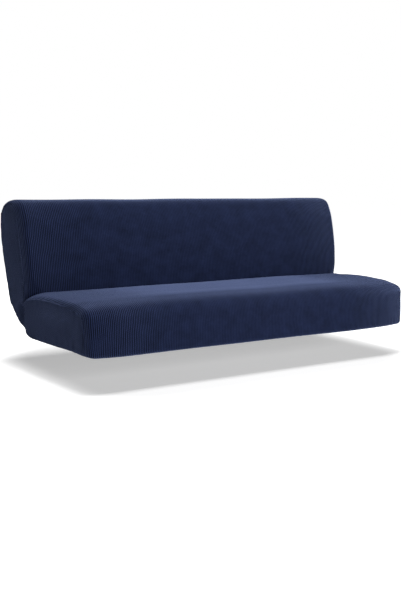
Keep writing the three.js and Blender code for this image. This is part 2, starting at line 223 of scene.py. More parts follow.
def side_out(depth, height):
    """Distance of the side surface from the middle plane."""
    half = mix(*SIDE_FLARE, ease(0, FLARE_DEPTH, depth))
    seat = SEAT_SWELL * swell(depth, height, SEAT_SWELL_MIDDLE, SEAT_SWELL_REACH)
    leaning = BACK_SWELL_MIDDLE[0] + BACK_SWELL_LEAN * (height - CREASE_END[1])
    back = BACK_SWELL * swell(depth, height, (leaning, BACK_SWELL_MIDDLE[1]), BACK_SWELL_REACH)
    above = ease(CREASE_END[1], GROOVE_TOP, height)
    groove = GROOVE * bell(depth, CREASE_END[0], GROOVE_REACH) * (1 - above)
    return (half + seat + back - groove
            - drawn_in(seat_turn(depth, height), SEAT_TURN_WIDTH)
            - drawn_in(back_turn(depth, height), BACK_TURN_WIDTH))


def side_points(depth, rise):
    """Points of the right-hand side, from their depth and their rise above the side hem."""
    drop, tuck = hem_roll(np.maximum(0, HEM_RADIUS - rise))
    height = hem_height(depth) + np.maximum(rise, HEM_RADIUS)
    return np.stack([side_out(depth, height) - tuck, depth, height - drop], axis=-1)


for spot, depth, height in (("front seam", SEAM_FRONT, FRONT_MIDDLE),
                            ("middle of the seat", *SEAT_SWELL_MIDDLE),
                            ("end of the crease", *CREASE_END)):
    print("half width at the", spot, round(float(side_out(depth, height)), 4))

# %% [markdown]
# ## The long panels
# The seat panel runs from the crease over the front edge to the hem, and the back panel from the
# crease over the top to the rear hem. A block with bevelled edges could give both, but its faces
# would stay dead flat. So each is described by a few stations, as a pattern cutter would: the
# profile at the middle of the sofa bed, the point where the same line reaches the side seam, and
# the reach over which the cloth rounds into the side.

# %% Stations of the seat panel and the back panel
# Each row: depth and height at the middle, depth and height at the seam, reach.
SEAT_STATIONS = (
    (0.576, 0.204, 0.650, 0.150, 0.098),      # crease
    (0.562, 0.220, 0.628, 0.170, 0.096),
    (0.500, 0.225, 0.548, 0.195, 0.072),
    (0.380, 0.228, 0.395, 0.206, 0.044),
    (0.240, 0.229, 0.255, 0.201, 0.038),
    (0.112, 0.226, 0.158, 0.188, 0.038),
    (0.022, 0.196, SEAM_FRONT, 0.167, 0.042),      # front corner
    (0.000, 0.110, SEAM_FRONT, 0.095, 0.050),
    (0.000, HEM_RADIUS - HEM_SAG, SEAM_FRONT, HEM_RADIUS, 0.050),
)
SEAT_CORNER = 6
BACK_STATIONS = (
    (0.5774, 0.204, 0.653, 0.152, 0.136),     # crease
    (0.580, 0.250, 0.634, 0.222, 0.056),
    (0.592, 0.350, 0.638, 0.335, 0.036),
    (0.615, 0.470, 0.659, 0.455, 0.034),
    (0.645, 0.580, 0.688, 0.560, 0.034),
    (0.682, 0.634, 0.720, 0.612, 0.034),      # top front corner
    (0.745, 0.651, 0.772, 0.637, 0.036),
    (0.830, 0.641, 0.840, 0.622, 0.036),
    (0.912, 0.599, 0.890, 0.583, 0.038),      # top rear corner
    (0.940, 0.518, 0.902, 0.500, 0.048),
    (0.914, 0.380, 0.874, 0.370, 0.050),
    (0.873, 0.240, 0.834, 0.235, 0.052),
    (0.846, REAR_HEM + HEM_RADIUS, SEAM_REAR, REAR_HEM + HEM_RADIUS, 0.054),
)
BACK_FRONT_CORNER = 5
BACK_REAR_CORNER = 8
print("stations", len(SEAT_STATIONS), "for the seat,", len(BACK_STATIONS), "for the back")

# %% [markdown]
# ## Smooth curves through the stations
# Blender's NURBS could join the stations, but such a curve only passes near its points. A
# Catmull-Rom curve passes through them, and the centripetal kind doesn't overshoot where they
# are unevenly spaced. `even` then spaces points evenly along it, so that the rows of a span are
# all of one depth.

# %% Smooth curves through the stations
def curve_through(points, at):
    """A centripetal Catmull-Rom curve through the points, at the given places along it."""
    first = 2 * points[0] - points[1]
    last = 2 * points[-1] - points[-2]
    padded = np.concatenate([[first], points, [last]])
    k = np.minimum(at.astype(int), len(points) - 2)
    t = (at - k)[:, None]
    p0, p1, p2, p3 = (padded[k + n] for n in range(4))
    d0, d1, d2 = (np.linalg.norm(b - a, axis=1)[:, None] ** 0.5
                  for a, b in ((p0, p1), (p1, p2), (p2, p3)))
    m1 = d1 * ((p1 - p0) / d0 - (p2 - p0) / (d0 + d1) + (p2 - p1) / d1)
    m2 = d1 * ((p2 - p1) / d1 - (p3 - p1) / (d1 + d2) + (p3 - p2) / d2)
    return (p1 + m1 * t + (3 * (p2 - p1) - 2 * m1 - m2) * t ** 2
            + (2 * (p1 - p2) + m1 + m2) * t ** 3)


def even(points, count, *others):
    """Spaces the points of a line evenly, and carries other values of the line along."""
    run = run_along(points, 0)
    places = np.linspace(0, run[-1], count)
    out = [np.stack([np.interp(places, run, column) for column in line.T], axis=1)
           for line in (points, *others)]
    return out if others else out[0]


bent = np.array([(0.0, 0.0), (3.0, 0.0), (3.0, 1.0)])
print("half way along a bent line", even(bent, 3)[1].tolist())

# %% [markdown]
# ## Rows of cloth
# A long panel is laid in spans between its corners, each with its own number of rows. Each row
# gets its place on the middle profile, its reach, and its place on the seam, as a depth and a
# rise above the hem. The roll and the lip of the hem come last. The first rows of both panels
# run to one point, where the crease comes out at the side, so that no hole is left where four
# panels meet.

# %% Rows of the seat panel and the back panel
CURVE_SAMPLES = 60        # samples of a curve between two stations
SEAT_TOP_ROWS = 110       # rows of cloth from the crease to the front corner
SEAT_FRONT_ROWS = 34      # and down the front
BACK_FRONT_ROWS = 72      # from the crease to the top front corner
BACK_TOP_ROWS = 40        # over the top
BACK_REAR_ROWS = 64       # and down the outside back
ROLL_ROWS = 8             # rows round the roll of the hem
LIP_ROWS = 5              # rows of the lip past it
HEM_ROWS = ROLL_ROWS + LIP_ROWS
HEM_RUNS = np.concatenate([np.linspace(0, ROLL, ROLL_ROWS + 1),
                           np.linspace(ROLL, ROLL + HEM_LIP, LIP_ROWS + 1)[1:]])


def panel_rows(stations, spans, under):
    """Profile with reach, and seam, of every row. under is 1 for a hem that tucks to the rear."""
    table = np.array(stations)
    middle, seam = [], []
    for start, end, count in spans:
        at = np.linspace(start, end, CURVE_SAMPLES * (end - start) + 1)
        mid = curve_through(table[:, [0, 1, 4]], at)
        far = curve_through(table[:, [2, 3]], at)
        rise = far[:, 1] - hem_height(far[:, 0])
        mid, far = even(mid, count + 1, np.stack([far[:, 0], rise], axis=1))
        middle.append(mid if not middle else mid[1:])
        seam.append(far if not seam else far[1:])
    runs = HEM_RUNS[1:]
    drop, tuck = hem_roll(runs)
    end_mid, end_seam = middle[-1][-1], seam[-1][-1]
    middle.append(np.stack([end_mid[0] + under * tuck, end_mid[1] - drop,
                            np.full_like(runs, end_mid[2])], axis=1))
    seam.append(np.stack([np.full_like(runs, end_seam[0]), end_seam[1] - runs], axis=1))
    return np.concatenate(middle), np.concatenate(seam)


seat_spans = ((0, SEAT_CORNER, SEAT_TOP_ROWS),
              (SEAT_CORNER, len(SEAT_STATIONS) - 1, SEAT_FRONT_ROWS))
back_spans = ((0, BACK_FRONT_CORNER, BACK_FRONT_ROWS),
              (BACK_FRONT_CORNER, BACK_REAR_CORNER, BACK_TOP_ROWS),
              (BACK_REAR_CORNER, len(BACK_STATIONS) - 1, BACK_REAR_ROWS))
seat_middle, seat_seam = panel_rows(SEAT_STATIONS, seat_spans, under=1)
back_middle, back_seam = panel_rows(BACK_STATIONS, back_spans, under=-1)
crease_rise = CREASE_END[1] - hem_height(CREASE_END[0])
seat_seam[0] = (CREASE_END[0], crease_rise)
back_seam[0] = (CREASE_END[0], crease_rise)
for name, line in (("seat", seat_middle), ("back", back_middle)):
    print(name, len(line), "rows over", round(run_along(line[:, :2], 0)[-1], 3), "of profile")

# %% [markdown]
# ## Columns of cloth
# A row is level across the middle and rounds into the side along part of an ellipse. On plain
# stretches that is a whole quarter, which lands flat in the side surface. At the two rounded
# corners it stops earlier, where the side surface comes to meet it. Columns are wide apart in
# the plain middle and close together near the seams, where the cloth puckers: an even grid as
# fine as that would have several times the faces. The seat also falls a little towards its
# ends, as a filled cushion does, and a few more rows hang down into the crease, where the cloth
# is tucked in.

# %% Lay out a long panel
SEAM_GAP = 0.0002         # clearance between two panels along a seam
FLAP_DEPTH = 0.018        # how far both long panels tuck down into the crease
FLAP_ROWS = 4
MIDDLE_STEPS = 56         # columns from the middle to the stretch near the end
NEAR_STEPS = 22           # columns in that stretch, where the hem gathers
ROUND_STEPS = 26          # columns round the end
ROUND_CROWDING = 1.25     # above 1 those columns crowd towards the seam
NEAR_WIDTH = 0.110        # width of the stretch near the end
CROWN_WIDTH = 0.180       # where the seat starts to fall towards its end
SEAT_CROWN = 0.4          # share of the fall that this crown takes
CROWN_FADE = (0.500, 0.562)    # depths over which the crown runs out, before the crease
MIRROR = np.array([-1, 1, 1])
DOWN = np.array([0, 0, -1])


def edge_places(seam, gap):
    """The panel's own edge, half a gap inside the seam."""
    along = np.gradient(seam, axis=0)
    along /= np.linalg.norm(along, axis=1)[:, None]
    return seam + np.stack([along[:, 1], -along[:, 0]], axis=1) * gap / 2


def level_columns(start):
    """Distances from the middle of the columns up to where each row starts to round."""
    near = start - NEAR_WIDTH
    return ([mix(0, near, i / MIDDLE_STEPS) for i in range(MIDDLE_STEPS + 1)]
            + [start - NEAR_WIDTH * (1 - i / NEAR_STEPS) for i in range(1, NEAR_STEPS + 1)])


def long_panel(middle, seam, side_of_seam, crown):
    """A grid of rows and columns. side_of_seam, 1 or -1, says which way its own cloth lies."""
    edge = edge_places(seam, side_of_seam * SEAM_GAP)
    end = side_points(edge[:, 0], edge[:, 1])
    height = hem_height(edge[:, 0]) + np.maximum(edge[:, 1], HEM_RADIUS)
    turn = np.maximum(seat_turn(edge[:, 0], height), back_turn(edge[:, 0], height))
    end_angle = np.arccos(turn)
    reach = middle[:, 2] * (1 - crown)
    start = end[:, 0] - reach * np.sin(end_angle)

    def column(x, rounding):
        crowned = np.clip((x - end[:, 0]) / CROWN_WIDTH + 1, 0, 1) ** 2
        fall = crown * crowned + (1 - crown) * rounding
        return np.stack([x, mix(middle[:, 0], end[:, 1], fall), mix(middle[:, 1], end[:, 2], fall)],
                        axis=1)

    half = [column(x, 0) for x in level_columns(start)]
    for i in range(1, ROUND_STEPS + 1):
        angle = end_angle * (1 - (1 - i / ROUND_STEPS) ** ROUND_CROWDING)
        half.append(column(start + reach * np.sin(angle), (1 - np.cos(angle)) / (1 - turn)))
    right = np.stack(half, axis=1)
    grid = np.concatenate([right[:, :0:-1] * MIRROR, right], axis=1)
    return np.concatenate([crease_flap(grid[0]), grid])


def crease_flap(first_row):
    """The rows that hang down into the crease and run out to nothing at its two ends."""
    width = len(first_row) - 1
    from_end = np.minimum(np.arange(width + 1), width - np.arange(width + 1))
    taper = np.sin(math.pi / 2 * np.clip(from_end / ROUND_STEPS, 0, 1))
    return np.stack([first_row + np.outer(taper * FLAP_DEPTH * k / FLAP_ROWS, DOWN)
                     for k in range(FLAP_ROWS, 0, -1)])


seat_crown = SEAT_CROWN * (1 - ease(*CROWN_FADE, seat_middle[:, 0]))
seat_grid = long_panel(seat_middle, seat_seam, 1, seat_crown)
back_grid = long_panel(back_middle, back_seam, -1, 0)
print("seat grid", seat_grid.shape, "back grid", back_grid.shape)

# %% [markdown]
# ## The side panels
# A side panel is cut to the seams of its neighbours. A face with many corners could fill that
# outline, but it would have no rows to shade or to pucker. As all four edges are known, the
# places between them are found by blending opposite edges instead. All of it is done flat, in
# depth and rise, and `side_points` then bends the panel onto the side surface.

# %% Fill a side panel
def inside_edges(grid):
    """Moves the front, rear and top edges of a flat grid in by half a seam gap."""
    along = np.gradient(grid, axis=1)
    up = np.gradient(grid, axis=0)
    along /= np.linalg.norm(along, axis=2)[..., None]
    up /= np.linalg.norm(up, axis=2)[..., None]
    moved = grid.copy()
    moved[:, 0] += along[:, 0] * SEAM_GAP / 2
    moved[:, -1] -= along[:, -1] * SEAM_GAP / 2
    moved[-1] -= up[-1] * SEAM_GAP / 2
    return moved


def filled(front, rear, top, bottom, rise):
    """Blends four edges into a grid. rise says how far up each row is, from 0 to 1."""
    back = (top[:, 0] - top[0, 0]) / (top[-1, 0] - top[0, 0])
    up = rise[:, None, None]
    across = back[None, :, None]
    corners = mix(mix(front[0], front[-1], up), mix(rear[0], rear[-1], up), across)
    return (mix(bottom[None], top[None], up) + mix(front[:, None], rear[:, None], across)
            - corners)


square = np.array([(0.0, 0.0), (0.0, 1.0), (1.0, 1.0), (1.0, 0.0)])
again = filled(square[:2], square[[3, 2]], square[1:3], square[[0, 3]], np.array([0.0, 1.0]))
print("corners of a filled square", again.reshape(-1, 2).tolist())

# %% [markdown]
# The upright edges start at the lip of the hem, so that the side hem rolls under like the front
# one. Where the side of the seat meets the side of the back, a short upright seam runs from the
# hem to the end of the crease.

# %% Lay out the side panels
SEAT_SIDE_STEPS = (116, 34)    # columns, and rows above the roll of the hem
BACK_SIDE_STEPS = (58, 110)
BORDER_POINTS = 12        # points on the seam between the two side panels


def edge_up(line, count):
    """An upright edge from the lip of the hem to its top, with even rows above the roll."""
    hem = np.stack([np.full_like(HEM_RUNS, line[0, 0]), HEM_RADIUS - HEM_RUNS[::-1]], axis=1)
    return np.concatenate([hem, even(line, count + 1)[1:]])


def side_panel(front, rear, top, steps):
    """A grid between three seams. Its fourth edge is the lip of the hem."""
    along, up = steps
    front = edge_up(front, up)
    rear = edge_up(rear, up)
    top = even(top, along + 1)
    share = (top[:, :1] - top[0, 0]) / (top[-1, 0] - top[0, 0])
    bottom = np.concatenate([mix(front[0, 0], rear[0, 0], share),
                             np.full_like(share, front[0, 1])], axis=1)
    rise = np.concatenate([np.zeros(HEM_ROWS), np.linspace(0, 1, up + 1)])
    places = inside_edges(filled(front, rear, top, bottom, rise))
    return side_points(places[..., 0], places[..., 1])


border = np.stack([np.full(BORDER_POINTS, CREASE_END[0]),
                   np.linspace(HEM_RADIUS, crease_rise, BORDER_POINTS)], axis=1)
back_top_end = BACK_FRONT_ROWS + BACK_TOP_ROWS
seat_side_grid = side_panel(
    front=seat_seam[SEAT_TOP_ROWS:-HEM_ROWS][::-1],
    rear=border,
    top=seat_seam[:SEAT_TOP_ROWS + 1][::-1],
    steps=SEAT_SIDE_STEPS)
back_side_grid = side_panel(
    front=np.concatenate([border, back_seam[1:BACK_FRONT_ROWS + 1]]),
    rear=back_seam[back_top_end:-HEM_ROWS][::-1],
    top=back_seam[BACK_FRONT_ROWS:back_top_end + 1],
    steps=BACK_SIDE_STEPS)
print("seat side", seat_side_grid.shape, "back side", back_side_grid.shape)

# %% [markdown]
# ## How taut knit behaves
# Three things keep a stretched cover from looking like a moulding. The seam allowance pushes up
# a low ridge on both sides of every seam. The thread is shorter than the cloth, so short puckers
# run away from the seam. The elastic in the hem gathers the bottom edge. Besides, the padding
# under the cloth is never quite flat. A bump in the material could draw all four, but it would
# be missing from the outline and from the mesh, so the points of the grid are lifted instead.

# %% Ridges, puckers, gathers and padding
RIDGE_LIFT = 0.0014       # height of the ridge at a seam
RIDGE_REACH = 0.0050      # how far from the seam it slopes down
PUCKER_LIFT = 0.0007      # height of the puckers at the seam
PUCKER_REACH = 0.026      # how quickly they fade away from it
PUCKER_LENGTH = 0.042     # distance from one to the next
PUCKER_SEED = 11
GATHER_LIFT = 0.0005      # the same for the gathers at the hem
GATHER_REACH = 0.030
GATHER_LENGTH = 0.030
GATHER_SEED = 31
PADDING_LIFT = 0.0014     # how uneven the padding is
PADDING_LENGTH = 0.46     # distance from one rise in it to the next
PADDING_SQUEEZE = np.array([1, 1, 0.8])    # upwards the rises are further apart
PADDING_SEED = 5


def seam_lift(distance, at_seam):
    """The ridge and the puckers of one seam, from the distance to it and its nearest point."""
    pucker = ripples(at_seam, PUCKER_LENGTH, PUCKER_SEED) * np.exp(-distance / PUCKER_REACH)
    return RIDGE_LIFT * bell(distance, 0, RIDGE_REACH) + PUCKER_LIFT * pucker


def hem_lift(above_hem, at_hem):
    gather = ripples(at_hem, GATHER_LENGTH, GATHER_SEED)
    return GATHER_LIFT * gather * bell(above_hem, 0, GATHER_REACH)


def padding_lift(points):
    return PADDING_LIFT * ripples(points * PADDING_SQUEEZE, PADDING_LENGTH, PADDING_SEED)


padding = padding_lift(seat_grid)
print("padding moves the seat by", round(padding.min(), 5), "to", round(padding.max(), 5))

# %% [markdown]
# ## Relief on the panels
# Each point of a grid moves straight out of the cloth by the sum of those lifts. A Displace
# modifier could do that from a texture, but it can't tell how far a point is from a seam. Here
# the run of cloth along rows and columns gives the distance to every seam and to the hem. The
# same runs are kept as the cloth's own coordinates, in metres, for the pattern of the knit.

# %% Give the panels their relief
HEM_ROW = -HEM_ROWS - 1   # row of a long panel at which the roll of its hem starts
HELD_RUN = 0.05           # run of cloth from the crease over which the relief sets in
SHORTEST = 1e-12          # keeps a point where the cloth runs out from dividing by zero


def outward(grid, facing):
    across = np.gradient(grid, axis=1)
    down = np.gradient(grid, axis=0)
    normal = np.cross(across, down)
    return facing * normal / np.maximum(np.linalg.norm(normal, axis=2), SHORTEST)[..., None]


def relief_long(grid, facing, drawn):
    """A long panel's relief and cloth coordinates. drawn says how much wider it is stretched."""
    middle = grid.shape[1] // 2
    across = run_along(grid, 1)
    across -= across[:, middle:middle + 1]
    along = run_along(grid, 0)
    half = np.abs(across)
    to_seam = np.where(across < 0, half[:, :1], half[:, -1:]) - half
    at_seam = np.abs(np.where((across < 0)[..., None], grid[:, :1], grid[:, -1:]))
    above_hem = np.abs(along - along[HEM_ROW])
    at_hem = np.broadcast_to(grid[HEM_ROW], grid.shape)
    free = ease(0, HELD_RUN, along - along[FLAP_ROWS])
    lift = (seam_lift(to_seam, at_seam) + hem_lift(above_hem, at_hem) + padding_lift(grid)) * free
    relief = grid + outward(grid, facing) * lift[..., None]
    return relief, np.stack([across / drawn, along - along[HEM_ROW]], axis=2)


def relief_side(grid, facing):
    """A side panel's relief and cloth coordinates."""
    across = run_along(grid, 1)
    up = run_along(grid, 0)
    lift = padding_lift(grid)
    for distance, edge in ((across, grid[:, :1]), (across[:, -1:] - across, grid[:, -1:]),
                           (up[-1:] - up, grid[-1:])):
        lift = lift + seam_lift(distance, np.abs(np.broadcast_to(edge, grid.shape)))
    at_hem = np.broadcast_to(grid[HEM_ROWS], grid.shape)
    lift = lift + hem_lift(np.abs(up - up[HEM_ROWS]), at_hem)
    relief = grid + outward(grid, facing) * lift[..., None]
    return relief, np.stack([across, up - up[HEM_ROWS]], axis=2)


BACK_DRAWN = 1.06         # the back is drawn this much wider than the seat
seat_shaped = relief_long(seat_grid, -1, 1)
back_shaped = relief_long(back_grid, 1, BACK_DRAWN)
for name, (relief, cloth) in (("seat", seat_shaped), ("back", back_shaped)):
    print(name, "cloth", np.round(np.ptp(cloth, axis=(0, 1)), 3), "points", relief[..., 0].size)

# %% [markdown]
# ## From places to a sheet
# `bmesh.ops.create_grid` makes a plain square grid with its UV map. Every corner of it is then
# moved to its place, and the UV map is rewritten in metres of cloth, so that the knit keeps its
# gauge round every bend. Where rows and columns run the other way round, the faces are turned
# over, so that all of them look outwards. A Solidify modifier gives the sheet the thickness of
# the knit, towards the inside.

# %% Make the six sheets
CLOTH = 0.0016            # thickness of the knit
HALF_GRID = 0.5           # the plain grid runs from minus this to plus this both ways


def make_sheet(name, places, cloth, facing):
    """A sheet object. places are its points, and cloth the same points in metres of cloth."""
    rows, columns = places.shape[:2]
    mesh = bpy.data.meshes.new(name)
    bm = bmesh.new()
    bmesh.ops.create_grid(bm, x_segments=columns - 1, y_segments=rows - 1, size=HALF_GRID,
                          calc_uvs=True)
    gauge = bm.loops.layers.uv.verify()
    spots = places + SHIFT
    where = {}
    for vert in bm.verts:
        i = round((vert.co.y + HALF_GRID) * (rows - 1))
        j = round((vert.co.x + HALF_GRID) * (columns - 1))
        where[vert] = (i, j)
        vert.co = spots[i, j]
    for face in bm.faces:
        face.smooth = True
        for loop in face.loops:
            loop[gauge].uv = cloth[where[loop.vert]]
    if facing < 0:
        bmesh.ops.reverse_faces(bm, faces=bm.faces[:])
    bm.to_mesh(mesh)
    bm.free()
    mesh.uv_layers[0].name = "Knit"
    sheet = bpy.data.objects.new(name, mesh)
    bpy.context.collection.objects.link(sheet)
    wall = sheet.modifiers.new("Thickness", "SOLIDIFY")
    wall.thickness = CLOTH
    wall.offset = -1
    print(name, len(mesh.polygons), "faces")
    return sheet


seat_cloth = make_sheet("seat_cloth", *seat_shaped, -1)
back_cloth = make_sheet("back_cloth", *back_shaped, 1)
sides = {}
for side, hand in (("right", 1), ("left", -1)):
    for part, grid in (("seat", seat_side_grid), ("back", back_side_grid)):
        shaped = relief_side(grid * np.array([hand, 1, 1]), hand)
        sides[part, side] = make_sheet(f"{part}_side_cloth_{side}", *shaped, hand)

# %% [markdown]
# ## The line of a seam
# Each seam is closed by an overlock thread that runs over the raised edge in slanting loops. A
# texture could draw the loops, but they catch the light one by one at the corners of the sofa
# bed, so they are real. First come the places of the loops: evenly spaced points on top of the
# ridge, with the directions that point out of the cloth and on along the seam.

# %% The line of a seam
STITCH_PITCH = 0.0036     # distance from one loop of thread to the next
SEAM_SAMPLES = 400        # points that a seam is measured with first
NUDGE = 0.0005            # a short step, to feel which way the surface slopes


def seam_line(seam):
    """Points of a seam on the right-hand side, with their outward and forward directions."""
    fine = even(seam, SEAM_SAMPLES)
    points = side_points(fine[:, 0], fine[:, 1])
    count = int(run_along(points, 0)[-1] / STITCH_PITCH)
    points, fine = even(points, count, fine)
    by_depth = side_points(fine[:, 0] + NUDGE, fine[:, 1]) - points
    by_rise = side_points(fine[:, 0], fine[:, 1] + NUDGE) - points
    out = np.cross(by_depth, by_rise)
    out /= np.linalg.norm(out, axis=1)[:, None]
    forward = np.gradient(points, axis=0)
    forward /= np.linalg.norm(forward, axis=1)[:, None]
    pucker = ripples(points, PUCKER_LENGTH, PUCKER_SEED)
    lift = RIDGE_LIFT + PUCKER_LIFT * pucker + padding_lift(points)
    return points + out * lift[:, None], out, forward


lip_rise = HEM_RADIUS - ROLL - HEM_LIP
border_seam = np.concatenate([[(CREASE_END[0], lip_rise)], border])
seam_lines = {"seat": seam_line(seat_seam), "back": seam_line(back_seam),
              "join": seam_line(border_seam)}
for name, line in seam_lines.items():
    print(name, "seam", round(run_along(line[0], 0)[-1], 3), "long")

# %% [markdown]
# ## The overlock thread
# One loop is a small ball of a few dozen faces, stretched into a grain and turned to lie slanting
# across the seam. A bevelled curve would make a truer thread, at many times the faces, and no
# more of it would be seen. The left-hand seams are the right-hand ones mirrored. That turns
# their faces inside out, so they are turned back.

# %% Sew the seams
STITCH_LENGTH = 0.0056    # how far a loop reaches over the seam
STITCH_WIDTH = 0.0013
STITCH_SLANT = math.radians(28)
STITCH_SEGMENTS = 6
STITCH_RINGS = 5


def sew(name, line, hand):
    """The loops of one seam. hand is 1 at the right end of the sofa bed and -1 at the left."""
    bm = bmesh.new()
    for point, up, ahead in zip(*line):
        up, ahead = Vector(up), Vector(ahead)
        across = up.cross(ahead)
        lay = across * math.cos(STITCH_SLANT) + ahead * math.sin(STITCH_SLANT)
        turned = Matrix((lay, up.cross(lay), up)).transposed().to_4x4()
        size = Matrix.Diagonal((STITCH_LENGTH / 2, STITCH_WIDTH / 2, STITCH_WIDTH / 2, 1))
        place = Matrix.Translation(Vector(point + SHIFT)) @ turned @ size
        bmesh.ops.create_uvsphere(bm, u_segments=STITCH_SEGMENTS, v_segments=STITCH_RINGS,
                                  radius=1, matrix=place)
    if hand < 0:
        bmesh.ops.scale(bm, vec=MIRROR, verts=bm.verts)
        bmesh.ops.reverse_faces(bm, faces=bm.faces[:])
    mesh = bpy.data.meshes.new(name)
    bm.to_mesh(mesh)
    bm.free()
    for face in mesh.polygons:
        face.use_smooth = True
    thread = bpy.data.objects.new(name, mesh)
    bpy.context.collection.objects.link(thread)
    print(name, len(line[0]), "loops", len(mesh.polygons), "faces")
    return thread


threads = [sew(f"{seam}_seam_thread_{side}", line, hand)
           for side, hand in (("right", 1), ("left", -1))
           for seam, line in seam_lines.items()]

# %% [markdown]
# ## Shader maths in plain Python
# A procedural knit is mostly arithmetic on the cloth's own coordinates. Each sum could be a Math
# node linked by hand, but the pattern would be lost among the links. `Wire` wraps the output of
# a node, so that an expression such as `1 - mask` adds its own Math node.

# %% Sums on the outputs of nodes
class Wire:
    """The output of a node, on which sums can be written."""

    def __init__(self, finish, socket):
        self.finish = finish
        self.socket = socket

    def maths(self, operation, *others):
        return self.finish.maths(operation, self, *others)

    def __add__(self, other):
        return self.maths("ADD", other)

    def __sub__(self, other):
        return self.maths("SUBTRACT", other)

    def __rsub__(self, other):
        return self.finish.maths("SUBTRACT", other, self)

    def __mul__(self, other):
        return self.maths("MULTIPLY", other)

    def __truediv__(self, other):
        return self.maths("DIVIDE", other)

    def __rtruediv__(self, other):
        return self.finish.maths("DIVIDE", other, self)

    def __pow__(self, other):
        return self.maths("POWER", other)

    def __mod__(self, other):
        return self.maths("FLOORED_MODULO", other)

    def __abs__(self):
        return self.maths("ABSOLUTE")

    __radd__ = __add__
    __rmul__ = __mul__


print("sums on a wire:", [name.strip("_") for name, value in vars(Wire).items()
                          if callable(value) and value is not Wire.__init__])

# %% [markdown]
# ## A material under construction
# `Finish` starts a material and holds what every pattern needs: `add` makes any node from its
# type, its settings and the values or links of its sockets, and `maths`, `vector` and `mixed`
# are short ways to the three most common kinds. Numbers go through Math nodes, but a Math node
# turns a colour grey, so colours and directions have nodes of their own.

# %% Materials
MIX_COLOURS = (6, 7)      # a Mix node has many sockets named A and B: these two take colours
MIX_RESULT = 2            # and this is the output for a colour


class Finish:
    """A material under construction."""

    def __init__(self, name):
        self.material = bpy.data.materials.new(name)
        self.material.use_nodes = True
        self.tree = self.material.node_tree
        self.surface = self.tree.nodes["Principled BSDF"]

    def feed(self, node, key, value):
        if isinstance(value, Wire):
            self.tree.links.new(value.socket, node.inputs[key])
        else:
            node.inputs[key].default_value = value

    def add(self, kind, settings=None, inputs=None, output=0):
        node = self.tree.nodes.new(kind)
        for key, value in (settings or {}).items():
            setattr(node, key, value)
        for key, value in (inputs or {}).items():
            self.feed(node, key, value)
        return Wire(self, node.outputs[output])

    def maths(self, operation, *values):
        return self.add("ShaderNodeMath", {"operation": operation}, dict(enumerate(values)))

    def vector(self, operation, *values, output="Vector"):
        return self.add("ShaderNodeVectorMath", {"operation": operation},
                        dict(enumerate(values)), output)

    def mixed(self, share, first, second):
        """Two colours mixed by a share."""
        inputs = {"Factor": share, MIX_COLOURS[0]: first, MIX_COLOURS[1]: second}
        return self.add("ShaderNodeMix", {"data_type": "RGBA"}, inputs, MIX_RESULT)

    def set_surface(self, **values):
        for key, value in values.items():
            self.feed(self.surface, key.replace("_", " "), value)


print("a finish can:", [name for name in vars(Finish) if not name.startswith("__")])

# %% [markdown]
# ## The knit
# The cloth is a navy stretch jacquard. Its face is a field of small raised cells: they stand in
# upright ribs, half a cell out of step with their neighbours, with a dark groove between one rib
# and the next. Over four square metres, modelled cells would take millions of faces, so they are
# a bump. The shade down in the grooves, where light does not reach, is painted into the colour as
# a darker navy.
#
# Where the cloth is drawn out widest, near both ends, its ribs open and the grooves show, and with
# them more of their painted shade. In the middle the ribs close up and the cloth looks almost
# smooth. Each kind of panel has a material of its own, because it opens over its own distances.
# The pattern reads the UV map and not Object coordinates, so it follows the cloth round every edge.

# %% Knit finish
RIB = 0.0084              # width of one rib
CELL = 0.0084             # length of one raised cell
SWAY = 1.4                # how far the ribs wander sideways, in ribs
HALF_STEP = 0.5           # cells of a rib are this far out of step with the next rib's
RIB_SHARPNESS = 2.0       # at 2 the crest of a rib is as wide as its groove
CELL_SHARPNESS = 0.8      # below 2 a cell is broad on top, with a narrow dip to the next
CELL_SHARE = 0.3          # share of a rib's height that dips between two cells
CLOSED_RIB = 0.30         # depth of a closed rib, as a share of the knit's own
OPEN_RIB = 1.70           # depth of a rib that is drawn open
SEAT_OPENS = (0.41, 0.80)      # distances from the middle over which the ribs open
BACK_OPENS = (0.47, 0.90)      # the same on the back
SIDE_OPENS = (-0.60, 0.60)     # a side panel is half open at its front seam, and opens rearwards
MIDDLE = 0.5              # the level that depth and noise vary about
RIB_SHADE_IN_COLOUR = 0.9      # how strongly the ribs with their painted groove shade, the fuzz and the patches show in the colour
FUZZ_IN_COLOUR = 0.25
PATCH_IN_COLOUR = 0.75
FUZZ_IN_RELIEF = 0.15     # height of the fuzz, as a share of a rib's
# The crest colour is the cloth's own. The groove colour is painted shade, where light does not
# reach between the ribs.
NAVY_CREST = (0.024, 0.036, 0.102, 1)
NAVY_GROOVE_PAINTED_SHADE = (0.003, 0.004, 0.009, 1)
BLUE_SHEEN = (0.42, 0.54, 1.0, 1)


